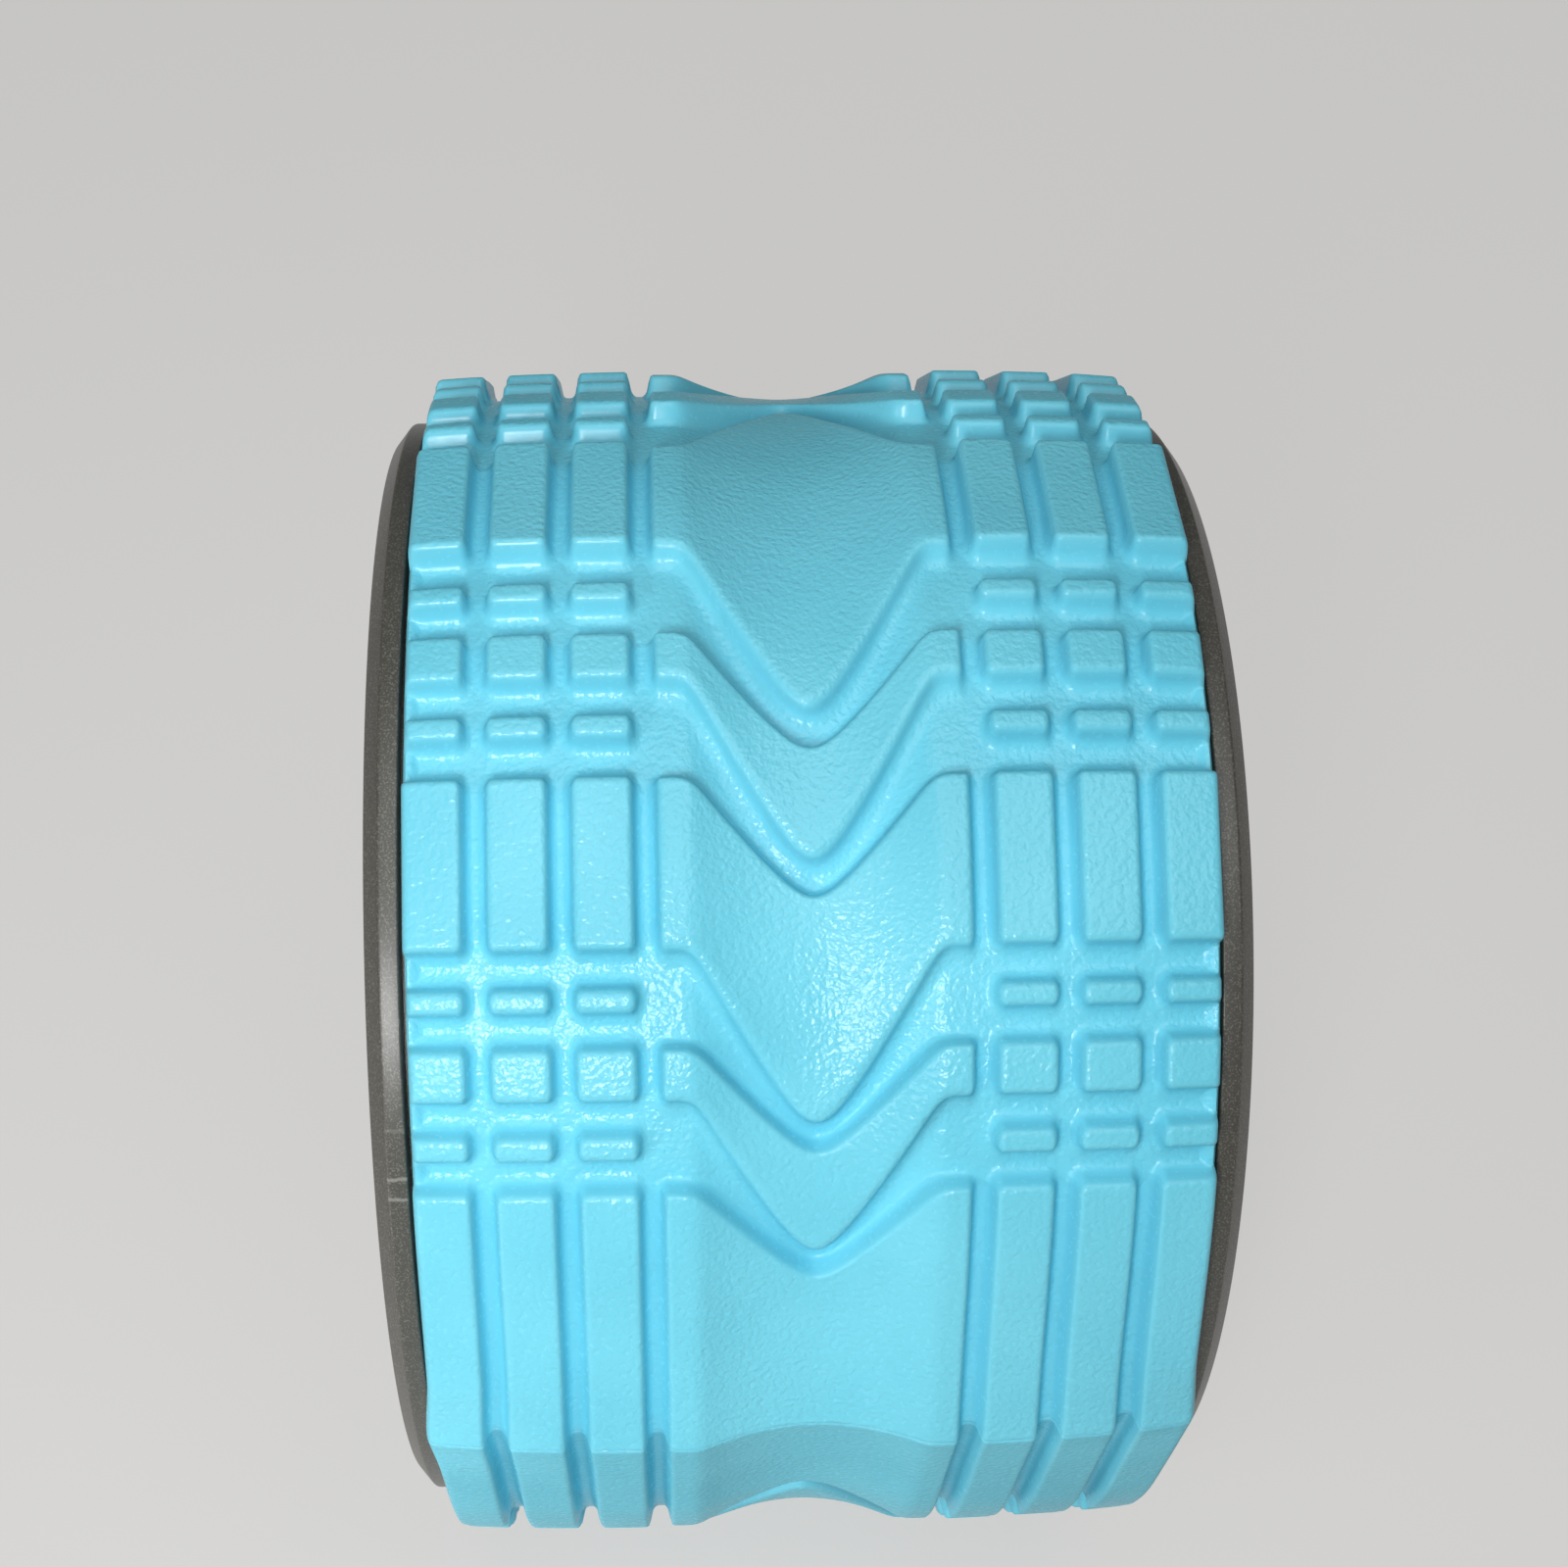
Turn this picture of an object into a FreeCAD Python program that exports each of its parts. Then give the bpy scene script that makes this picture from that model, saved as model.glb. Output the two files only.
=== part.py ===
import FreeCAD, Part
import math
import os

# Yoga wheel: a plastic tube with a rim ring pressed into each end, wrapped in two moulded foam half treads.
# Millimetres. The origin is the wheel's centre, its axis is Y, and Z is up.
# An angle on the tread is measured about Y from the top (+Z) towards the front (+X), in degrees.

# Tube and rim rings
wheel_width = 130.0
bore_diameter = 172.0
tube_wall = 5.0
rim_lip = 4.0
rim_flange = 5.8
rim_edge_radius = 2.6
rim_bore_chamfer = 1.0
spigot_length = 10.0
spigot_wall = 2.5

# Foam treads
foam_thickness = 11.6
relief_depth = 3.7
dish_depth = 4.3
panel_margin = 4.7
column_count = 3
column_width = 8.4
groove_width = 3.7
wall_draft = 0.9
end_flat_angle = 16.0

# Rows of blocks from the top of the tread to its seam: the angles where each row starts and ends
first_row_half_angle = 7.1
side_rows = [
    (11.2, 13.0),
    (16.4, 20.5),
    (23.9, 25.7),
    (29.3, 43.0),
    (46.3, 48.0),
    (51.1, 55.2),
    (58.3, 60.2),
]
end_row_start = 63.2

# Every second row has a panel in the middle: it is notched at one end, and runs to a tip at the other
panel_row_angles = side_rows[1::2]
notch_depth_angle = 9.6
tip_depth_angle = 15.0

# Fits
fit_clearance = 0.05
glue_thickness = 0.3
side_gap = 0.7
butt_gap = 0.1
panel_drop = 0.15

# Values worked out from the sizes above
bore_radius = bore_diameter / 2
tube_radius = bore_radius + tube_wall
rim_radius = tube_radius + rim_lip
half_tube = wheel_width / 2 - rim_flange
glue_inner = tube_radius + fit_clearance
glue_outer = glue_inner + glue_thickness
foam_inner = glue_outer + fit_clearance
tread_radius = foam_inner + foam_thickness
floor_radius = tread_radius - relief_depth
half_foam = half_tube - side_gap
half_panel = half_foam - column_count * (column_width + groove_width)
half_dish = half_panel - panel_margin
flat_start = 90.0 - end_flat_angle
past_seam = 90.0 + end_flat_angle / 2
root_depth = relief_depth / 2
overshoot = foam_thickness

centre = FreeCAD.Vector(0, 0, 0)
axle = FreeCAD.Vector(0, 1, 0)


def on_section(y, radius):
    return FreeCAD.Vector(0, y, radius)


def along_tangent(angle):
    turn = math.radians(angle)
    return FreeCAD.Vector(math.cos(turn), 0, -math.sin(turn))


def outward(angle):
    turn = math.radians(angle)
    return FreeCAD.Vector(math.sin(turn), 0, math.cos(turn))


# A point on the plane square to the radius at this angle
def on_plane(angle, along, y, height):
    return along_tangent(angle) * along + axle * y + outward(angle) * height


# How far along that plane the tread's face is at another angle
def along_from(angle, plane_angle):
    return tread_radius * math.tan(math.radians(angle - plane_angle))


def polygon_face(points):
    return Part.Face(Part.makePolygon(points + points[:1]))


def section_rectangle(y_low, y_high, inner, outer):
    corners = [(y_low, inner), (y_low, outer), (y_high, outer), (y_high, inner)]
    return polygon_face([on_section(y, radius) for y, radius in corners])


def spin(face, start, sweep):
    turned = face.copy()
    turned.rotate(centre, axle, start)
    return turned.revolve(centre, axle, sweep)


# Core tube, counterbored at both ends for the rim rings' spigots
def make_core_tube():
    socket_radius = bore_radius + spigot_wall
    shoulder = half_tube - spigot_length
    tube = spin(section_rectangle(-half_tube, half_tube, bore_radius, tube_radius), 0, 360)
    for side in (-1, 1):
        near, far = sorted((side * shoulder, side * (half_tube + overshoot)))
        socket = section_rectangle(near, far, bore_radius - overshoot, socket_radius)
        tube = tube.cut(spin(socket, 0, 360))
    return tube


# Rim ring: a flange with a rounded outer edge, and a spigot that seats in the tube's end
def make_rim_ring(side):
    outside = wheel_width / 2
    edge_radius = min(rim_edge_radius, rim_flange / 2)
    edge_middle = edge_radius * (1 - math.sqrt(0.5))
    spigot_end = half_tube - spigot_length + fit_clearance
    spigot_radius = bore_radius + spigot_wall - fit_clearance
    edge_start = on_section(outside, rim_radius - edge_radius)
    edge_top = on_section(outside - edge_middle, rim_radius - edge_middle)
    edge_end = on_section(outside - edge_radius, rim_radius)
    bore_side = [
        on_section(spigot_end, bore_radius),
        on_section(outside - rim_bore_chamfer, bore_radius),
        on_section(outside, bore_radius + rim_bore_chamfer),
        edge_start,
    ]
    tube_side = [
        edge_end,
        on_section(half_tube, rim_radius),
        on_section(half_tube, spigot_radius),
        on_section(spigot_end, spigot_radius),
        bore_side[0],
    ]
    edges = [Part.makeLine(*ends) for ends in zip(bore_side, bore_side[1:])]
    edges.append(Part.Arc(edge_start, edge_top, edge_end).toShape())
    edges += [Part.makeLine(*ends) for ends in zip(tube_side, tube_side[1:])]
    ring = spin(Part.Face(Part.Wire(edges)), 0, 360)
    if side < 0:
        ring = ring.mirror(centre, axle)
    return ring


# The foam's cross-section, with the dished channel for the spine in the middle
def foam_section(face_radius):
    left_margin = on_section(-half_dish, face_radius)
    right_margin = on_section(half_dish, face_radius)
    outline = [
        right_margin,
        on_section(half_foam, face_radius),
        on_section(half_foam, foam_inner),
        on_section(-half_foam, foam_inner),
        on_section(-half_foam, face_radius),
        left_margin,
    ]
    dish = Part.Arc(left_margin, on_section(0, face_radius - dish_depth), right_margin)
    edges = [dish.toShape()] + [Part.makeLine(*ends) for ends in zip(outline, outline[1:])]
    return Part.Face(Part.Wire(edges))


# Half a turn of that section: round in the middle, and straight over the last stretch to each seam,
# with foam filling the wedge that the straight ends leave above the tube
def foam_layer(face_radius):
    section = foam_section(face_radius)
    straight = along_from(past_seam, flat_start)
    wedge_top = foam_inner / math.cos(math.radians(end_flat_angle)) + root_depth
    wedge = section_rectangle(-half_foam, half_foam, foam_inner, wedge_top)
    layer = spin(section, -flat_start, 2 * flat_start)
    for side in (-1, 1):
        end = section.copy()
        end.rotate(centre, axle, side * flat_start)
        layer = layer.fuse(end.extrude(along_tangent(side * flat_start) * (side * straight)))
        layer = layer.fuse(spin(wedge, side * 90.0 - end_flat_angle, 2 * end_flat_angle))
    return layer


# A block with a flat face and drafted walls, on the plane square to the radius at this angle.
# Drafts are in the order low, high, left, right, and root_height is how deep the block is rooted in the sheet.
def make_block(angle, low, high, left, right, drafts, root_height):
    widen = (tread_radius - root_height) / relief_depth
    low_draft, high_draft, left_draft, right_draft = [draft * widen for draft in drafts]
    face = [(low, left), (high, left), (high, right), (low, right)]
    root = [
        (low - low_draft, left - left_draft),
        (high + high_draft, left - left_draft),
        (high + high_draft, right + right_draft),
        (low - low_draft, right + right_draft),
    ]
    upper = [on_plane(angle, along, y, tread_radius) for along, y in face]
    lower = [on_plane(angle, along, y, root_height) for along, y in root]
    sides = [polygon_face(upper), polygon_face(lower)]
    for index in range(4):
        after = (index + 1) % 4
        sides.append(polygon_face([lower[index], lower[after], upper[after], upper[index]]))
    return Part.Solid(Part.Shell(sides))


# How high the sheet's round floor is this far along the plane, less the root
def root_at(along):
    return math.sqrt(floor_radius ** 2 - (abs(along) + wall_draft) ** 2) - root_depth


# The columns of blocks: their left and right edges, and the draft on each. The outermost walls are upright.
def side_columns():
    columns = []
    for number in range(column_count):
        inner = half_panel + groove_width + number * (column_width + groove_width)
        outer = inner + column_width
        outer_draft = 0.0 if number == column_count - 1 else wall_draft
        columns.append((inner, outer, wall_draft, outer_draft))
        columns.append((-outer, -inner, outer_draft, wall_draft))
    return columns


def make_row(start, end):
    middle = (start + end) / 2
    low = along_from(start, middle)
    high = along_from(end, middle)
    blocks = []
    for left, right, left_draft, right_draft in side_columns():
        drafts = (wall_draft, wall_draft, left_draft, right_draft)
        blocks.append(make_block(middle, low, high, left, right, drafts, root_at(high)))
    return blocks


# The last row runs to the seam in two flats. The second flat is the stretch where the sheet is straight.
def make_end_row(side):
    first_plane = (2 * end_row_start + flat_start) / 3
    bend = (first_plane + flat_start) / 2
    flats = [(first_plane, end_row_start, bend, wall_draft), (flat_start, bend, past_seam, 0.0)]
    blocks = []
    for plane, start, end, start_draft in flats:
        near = side * along_from(start, plane)
        far = side * along_from(end, plane)
        low, high = sorted((near, far))
        end_drafts = (start_draft, 0.0) if side > 0 else (0.0, start_draft)
        for left, right, left_draft, right_draft in side_columns():
            drafts = end_drafts + (left_draft, right_draft)
            blocks.append(make_block(side * plane, low, high, left, right, drafts, root_at(near)))
    return blocks


def make_side_blocks():
    blocks = make_row(-first_row_half_angle, first_row_half_angle)
    for side in (-1, 1):
        for start, end in side_rows:
            low, high = sorted((side * start, side * end))
            blocks += make_row(low, high)
        blocks += make_end_row(side)
    return blocks


# A central panel is an outline of widths and angles, raised square to the radius at its middle
def raise_panel(outline):
    angles = [angle for y, angle in outline]
    middle = (min(angles) + max(angles)) / 2
    points = []
    for y, angle in outline:
        along = tread_radius * math.sin(math.radians(angle - middle))
        points.append(on_plane(middle, along, y, foam_inner / 2))
    return polygon_face(points).extrude(outward(middle) * tread_radius)


# One end of a panel, from its left edge to its right edge, with a point in the middle
def panel_end(angle, point_angle):
    return [
        (-half_panel, angle),
        (-half_dish, angle),
        (0.0, point_angle),
        (half_dish, angle),
        (half_panel, angle),
    ]


def make_panels():
    tip = first_row_half_angle + tip_depth_angle
    outlines = [panel_end(-first_row_half_angle, -tip) + panel_end(first_row_half_angle, tip)[::-1]]
    for side in (-1, 1):
        chevrons = []
        for start, end in panel_row_angles:
            chevrons.append(
                panel_end(start, start + notch_depth_angle) + panel_end(end, end + tip_depth_angle)[::-1]
            )
        end_panel = panel_end(end_row_start, end_row_start + notch_depth_angle)
        chevrons.append(end_panel + [(half_panel, past_seam), (-half_panel, past_seam)])
        outlines += [[(y, side * angle) for y, angle in chevron] for chevron in chevrons]
    return [raise_panel(outline) for outline in outlines]


# What is left of a shape above the two seams
def upper_half(shape):
    size = 4 * tread_radius
    corner = FreeCAD.Vector(-size / 2, -size / 2, butt_gap / 2)
    return shape.common(Part.makeBox(size, size, size, corner))


def make_tread():
    sheet = foam_layer(floor_radius)
    skin = foam_layer(tread_radius - panel_drop)
    panels = [panel.common(skin) for panel in make_panels()]
    tread = sheet.fuse(panels + make_side_blocks())
    return upper_half(tread).removeSplitter()


# The glue film between the tube and a half tread
def make_adhesive():
    return upper_half(spin(section_rectangle(-half_foam, half_foam, glue_inner, glue_outer), 0, 360))


# The lower half is the same piece, turned half a turn about the axle
def lower_copy(shape):
    turned = shape.copy()
    turned.rotate(centre, axle, 180)
    return turned


tread = make_tread()
adhesive = make_adhesive()
nodes = {
    "core_tube": make_core_tube(),
    "rim_ring_left": make_rim_ring(-1),
    "rim_ring_right": make_rim_ring(1),
    "adhesive_upper": adhesive,
    "adhesive_lower": lower_copy(adhesive),
    "tread_upper": tread,
    "tread_lower": lower_copy(tread),
}

os.makedirs("parts", exist_ok=True)
for name, shape in nodes.items():
    print(name, "solids", len(shape.Solids), "valid", shape.isValid(), "volume", round(shape.Volume))
    shape.exportStep("parts/" + name + ".step")
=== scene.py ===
import math

import bmesh
import bpy
from mathutils import Euler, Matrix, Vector


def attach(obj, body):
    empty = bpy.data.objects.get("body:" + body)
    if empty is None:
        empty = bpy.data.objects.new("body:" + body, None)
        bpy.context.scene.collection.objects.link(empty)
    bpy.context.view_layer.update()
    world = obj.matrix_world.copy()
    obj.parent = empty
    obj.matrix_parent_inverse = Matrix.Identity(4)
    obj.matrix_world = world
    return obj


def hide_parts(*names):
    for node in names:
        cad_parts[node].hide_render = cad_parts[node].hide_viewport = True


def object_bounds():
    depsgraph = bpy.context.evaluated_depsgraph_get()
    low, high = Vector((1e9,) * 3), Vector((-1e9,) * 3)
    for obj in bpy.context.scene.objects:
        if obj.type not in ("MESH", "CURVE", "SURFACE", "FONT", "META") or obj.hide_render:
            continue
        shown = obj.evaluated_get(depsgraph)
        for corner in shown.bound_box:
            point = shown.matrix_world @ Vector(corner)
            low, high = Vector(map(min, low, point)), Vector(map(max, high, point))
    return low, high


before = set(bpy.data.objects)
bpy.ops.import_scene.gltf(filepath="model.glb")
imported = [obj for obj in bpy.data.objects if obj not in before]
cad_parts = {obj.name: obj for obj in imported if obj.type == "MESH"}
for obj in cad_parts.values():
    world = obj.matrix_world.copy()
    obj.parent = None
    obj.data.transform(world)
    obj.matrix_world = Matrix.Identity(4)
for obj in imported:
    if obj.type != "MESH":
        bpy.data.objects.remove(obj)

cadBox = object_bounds()
print("frame loaded:", ", ".join(sorted(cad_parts)))

mm = 0.001
mmPerMetre = 1000
scene = bpy.context.scene
scene.view_settings.view_transform = "Standard"


def toLinear(hexColour):
    parts = [int(hexColour[i:i + 2], 16) / 255 for i in (1, 3, 5)]
    return [p / 12.92 if p <= 0.04045 else ((p + 0.055) / 1.055) ** 2.4 for p in parts] + [1.0]


# Adds a node, sets it, and feeds its inputs with values, sockets or other nodes' first outputs.
# Inputs go by name, or by number where names repeat: Mix has its colours at 6 and 7.
def addNode(tree, kind, feeds=None, **settings):
    node = tree.nodes.new(kind)
    for name, value in settings.items():
        setattr(node, name, value)
    pairs = feeds.items() if isinstance(feeds, dict) else enumerate(feeds or [])
    for key, value in pairs:
        if isinstance(value, bpy.types.Node):
            value = value.outputs[0]
        if isinstance(value, bpy.types.NodeSocket):
            tree.links.new(value, node.inputs[key])
        elif value is not None:
            node.inputs[key].default_value = value
    return node


def startMaterial(name):
    material = bpy.data.materials.new(name)
    material.use_nodes = True
    material.node_tree.nodes.clear()
    return material, material.node_tree


def addPiece(name, mesh, material=None):
    piece = bpy.data.objects.new(name, mesh)
    scene.collection.objects.link(piece)
    if material:
        mesh.materials.clear()
        mesh.materials.append(material)
    return piece


# Materials

# Closed-cell foam, compression moulded: a soft satin skin with a fine leathery grain from the mould
def makeFoamMaterial():
    look = {
        "body": "#7BDBF0",
        "deep": "#72D3E9",
        "blotchSize": 30.0,  # mm
        "grainSize": 0.85,  # mm
        "grainDepth": 0.21,  # mm
        "wallFacing": 0.62,  # how far walls and tops face outwards, 1 being straight out
        "topFacing": 0.92,
        "wallGrain": 0.05,
        "valleyRoughness": 0.28,
        "ridgeRoughness": 0.23,
        "ior": 1.4,
        "gloss": 0.5,
        "lowGloss": 0.03,
        "fadeStart": 0.4,
        "fadeEnd": 0.7,
    }
    material, tree = startMaterial("evaFoamMouldedSkin")
    coordinates = addNode(tree, "ShaderNodeTexCoord").outputs
    place = coordinates["Object"]
    blotch = addNode(tree, "ShaderNodeTexNoise", {
        "Vector": place, "Scale": mmPerMetre / look["blotchSize"], "Detail": 2.0})
    tint = addNode(tree, "ShaderNodeMapRange", {"Value": blotch, "From Min": 0.35, "From Max": 0.65})
    colour = addNode(tree, "ShaderNodeMix", {
        0: tint, 6: toLinear(look["deep"]), 7: toLinear(look["body"])}, data_type="RGBA")
    creased = addNode(tree, "ShaderNodeMapping", {"Vector": place, "Scale": (1.0, 0.9, 1.0)})
    grain = addNode(tree, "ShaderNodeTexNoise", {
        "Vector": creased, "Scale": mmPerMetre / look["grainSize"],
        "Detail": 1.0, "Roughness": 0.45, "Distortion": 0.2})
    # The grain fades on the steep walls, where the part is drawn out of the mould
    outward = addNode(tree, "ShaderNodeVectorMath", [place, (1.0, 0.0, 1.0)], operation="MULTIPLY")
    outward = addNode(tree, "ShaderNodeVectorMath", [outward], operation="NORMALIZE")
    facing = addNode(tree, "ShaderNodeVectorMath", [outward, coordinates["Normal"]], operation="DOT_PRODUCT")
    drawn = addNode(tree, "ShaderNodeMapRange", {
        "Value": facing.outputs["Value"], "From Min": look["wallFacing"], "From Max": look["topFacing"],
        "To Min": look["wallGrain"], "To Max": 1.0})
    skin = addNode(tree, "ShaderNodeBump", {
        "Height": grain, "Strength": drawn, "Distance": look["grainDepth"] * mm})
    rough = addNode(tree, "ShaderNodeMapRange", {
        "Value": grain, "From Min": 0.3, "From Max": 0.7,
        "To Min": look["valleyRoughness"], "To Max": look["ridgeRoughness"]})
    # Seen at a low angle the grain shades itself, so the gloss fades there
    angle = addNode(tree, "ShaderNodeLayerWeight", {"Blend": 0.5}).outputs["Facing"]
    gloss = addNode(tree, "ShaderNodeMapRange", {
        "Value": angle, "From Min": look["fadeStart"], "From Max": look["fadeEnd"],
        "To Min": look["gloss"], "To Max": look["lowGloss"]})
    shader = addNode(tree, "ShaderNodeBsdfPrincipled", {
        "Base Color": colour.outputs[2], "Roughness": rough, "IOR": look["ior"],
        "Specular IOR Level": gloss, "Normal": skin})
    addNode(tree, "ShaderNodeOutputMaterial", {"Surface": shader})
    return material


# ABS, injection moulded in a spark-textured mould: dark grey, matte, with a fine sparkle of light grains
def makeRimMaterial():
    look = {
        "body": "#4C4A44",
        "grain": "#747169",
        "grainSize": 0.3,  # mm
        "grainDepth": 0.05,  # mm
        "roughness": 0.36,
        "ior": 1.54,
        "scuff": "#A5A39B",
        "scuffs": {58.7: 0.2, 63.3: 0.55, 65.3: 0.5},  # turn in degrees, and strength
        "scuffEdge": 0.004,  # radians from the scuff's middle
        "scuffCore": 0.001,
        "scuffWander": 0.007,
        "wanderSize": 1.111,  # mm
        "crownMiddle": -61.1,  # mm along the axle, on the left ring
        "crownHalf": 1.6,
    }
    material, tree = startMaterial("absSparkTextured")
    place = addNode(tree, "ShaderNodeTexCoord").outputs["Object"]
    grain = addNode(tree, "ShaderNodeTexNoise", {
        "Vector": place, "Scale": mmPerMetre / look["grainSize"], "Detail": 1.0})
    speck = addNode(tree, "ShaderNodeMapRange", {"Value": grain, "From Min": 0.5, "From Max": 0.72})
    colour = addNode(tree, "ShaderNodeMix", {
        0: speck, 6: toLinear(look["body"]), 7: toLinear(look["grain"])}, data_type="RGBA")
    # Light scuffs run across the left ring's crown, each a little crooked
    parts = addNode(tree, "ShaderNodeSeparateXYZ", [place]).outputs
    turn = addNode(tree, "ShaderNodeMath", [parts["X"], parts["Z"]], operation="ARCTAN2")
    wander = addNode(tree, "ShaderNodeTexNoise", {
        "Vector": place, "Scale": mmPerMetre / look["wanderSize"], "Detail": 2.0})
    turn = addNode(tree, "ShaderNodeMath", [wander, look["scuffWander"], turn], operation="MULTIPLY_ADD")
    onCrown = addNode(tree, "ShaderNodeMath", [
        parts["Y"], look["crownMiddle"] * mm, look["crownHalf"] * mm], operation="COMPARE")
    for angle, strength in look["scuffs"].items():
        middle = math.radians(angle) + look["scuffWander"] / 2
        off = addNode(tree, "ShaderNodeMath", [turn, middle], operation="SUBTRACT")
        off = addNode(tree, "ShaderNodeMath", [off], operation="ABSOLUTE")
        worn = addNode(tree, "ShaderNodeMapRange", {
            "Value": off, "From Min": look["scuffEdge"], "From Max": look["scuffCore"], "To Max": strength})
        worn = addNode(tree, "ShaderNodeMath", [worn, onCrown], operation="MULTIPLY")
        colour = addNode(tree, "ShaderNodeMix", {
            0: worn, 6: colour.outputs[2], 7: toLinear(look["scuff"])}, data_type="RGBA")
    bump = addNode(tree, "ShaderNodeBump", {
        "Height": grain, "Strength": 0.3, "Distance": look["grainDepth"] * mm})
    shader = addNode(tree, "ShaderNodeBsdfPrincipled", {
        "Base Color": colour.outputs[2], "Roughness": look["roughness"], "IOR": look["ior"], "Normal": bump})
    addNode(tree, "ShaderNodeOutputMaterial", {"Surface": shader})
    return material


# ABS tube, extruded: the same grey, smoother, with faint lines along the axis from the die
def makeTubeMaterial():
    look = {
        "body": "#403F3B",
        "line": "#4A4944",
        "lineSize": 1.6,  # mm
        "lineDepth": 0.05,  # mm
        "roughness": 0.38,
        "ior": 1.54,
    }
    material, tree = startMaterial("absExtruded")
    place = addNode(tree, "ShaderNodeTexCoord").outputs["Object"]
    stretch = addNode(tree, "ShaderNodeMapping", {"Vector": place, "Scale": (1.0, 0.02, 1.0)})
    lines = addNode(tree, "ShaderNodeTexNoise", {
        "Vector": stretch, "Scale": mmPerMetre / look["lineSize"], "Detail": 2.0})
    colour = addNode(tree, "ShaderNodeMix", {
        0: lines, 6: toLinear(look["body"]), 7: toLinear(look["line"])}, data_type="RGBA")
    bump = addNode(tree, "ShaderNodeBump", {
        "Height": lines, "Strength": 0.15, "Distance": look["lineDepth"] * mm})
    shader = addNode(tree, "ShaderNodeBsdfPrincipled", {
        "Base Color": colour.outputs[2], "Roughness": look["roughness"], "IOR": look["ior"], "Normal": bump})
    addNode(tree, "ShaderNodeOutputMaterial", {"Surface": shader})
    return material


# Contact adhesive, brushed on: a thin yellowish film, uneven and half glossy
def makeGlueMaterial():
    look = {
        "thin": "#8C8467",
        "thick": "#B0A77F",
        "strokeSize": 6.0,  # mm
        "roughness": 0.35,
    }
    material, tree = startMaterial("contactAdhesiveBrushed")
    place = addNode(tree, "ShaderNodeTexCoord").outputs["Object"]
    strokes = addNode(tree, "ShaderNodeTexNoise", {
        "Vector": place, "Scale": mmPerMetre / look["strokeSize"], "Detail": 3.0})
    colour = addNode(tree, "ShaderNodeMix", {
        0: strokes, 6: toLinear(look["thin"]), 7: toLinear(look["thick"])}, data_type="RGBA")
    shader = addNode(tree, "ShaderNodeBsdfPrincipled", {
        "Base Color": colour.outputs[2], "Roughness": look["roughness"]})
    addNode(tree, "ShaderNodeOutputMaterial", {"Surface": shader})
    return material


foam = makeFoamMaterial()
rimPlastic = makeRimMaterial()
tubePlastic = makeTubeMaterial()
glue = makeGlueMaterial()
print("materials made")

# Foam half treads

# Lengths in mm, angles in degrees from the middle of the half tread to its seam, and shares of 1
tread = {
    "radius": 103.0,
    "inner": 91.4,  # its seat on the glue
    "halfWidth": 58.5,
    "relief": 3.7,
    "wallDraft": 0.9,  # how far a wall runs out from top to root
    "columnDraft": 0.55,
    "tipDraft": 1.3,
    "notchDraft": 0.5,
    "topRound": 1.3,
    "rootRound": 2.2,
    "column": 8.4,
    "groove": 3.7,
    "halfPanel": 22.2,
    "halfDish": 17.5,
    "dishDepth": 4.3,
    "dishBlend": 0.25,  # share of the depth over which the dish's edge is eased
    "blockCorner": 1.4,
    "endInset": 0.5,  # small blocks end this far inside the tread's side
    "endDraft": 0.7,
    "endBlend": 1.0,
    "rail": 1.5,
    "railWide": 2.2,
    "panelCorner": 1.0,
    "tipRound": 3.6,
    "shoulderBlend": 0.2,
    "slopeProbe": 0.5,  # step over which a panel point's slope is taken
    "sideRound": 1.2,
    "frontRound": 0.15,
    "backRound": 0.8,
    "seamGap": 0.1,
    "seamShift": 1.2,  # both halves are turned by this, and the pattern isn't
    "crown": 1.3,
    "seamCurl": 1.4,
    "seamFlare": 0.9,
    "seamReach": 13.0,
    "curlPower": 4.0,  # crown and curl grow by this power of the width
    "unevenness": 0.3,
    "unevenSize": 22.0,
    "endFlat": 16.0,  # the last stretch before a seam is straight
    "firstRow": 7.1,
    "rows": [
        (11.2, 13.0), (16.4, 20.5), (23.9, 25.7), (29.3, 43.0), (46.3, 48.0), (51.1, 55.2), (58.3, 60.2),
    ],
    "endRow": 63.2,
    "longRow": 10.0,  # rows longer than this have flat faces
    "flatMargin": 2.5,  # how far past a long row its flat face still counts
    "notch": 9.6,
    "tip": 15.0,
    "acrossStep": 0.4,
    "alongStep": 0.29,
    "gather": 0.065,  # how far points move towards a groove, as a share of the pitch
    "sharpAngle": 50.0,
}


def arcOf(degrees):
    return math.radians(degrees) * tread["radius"] * mm


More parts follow.
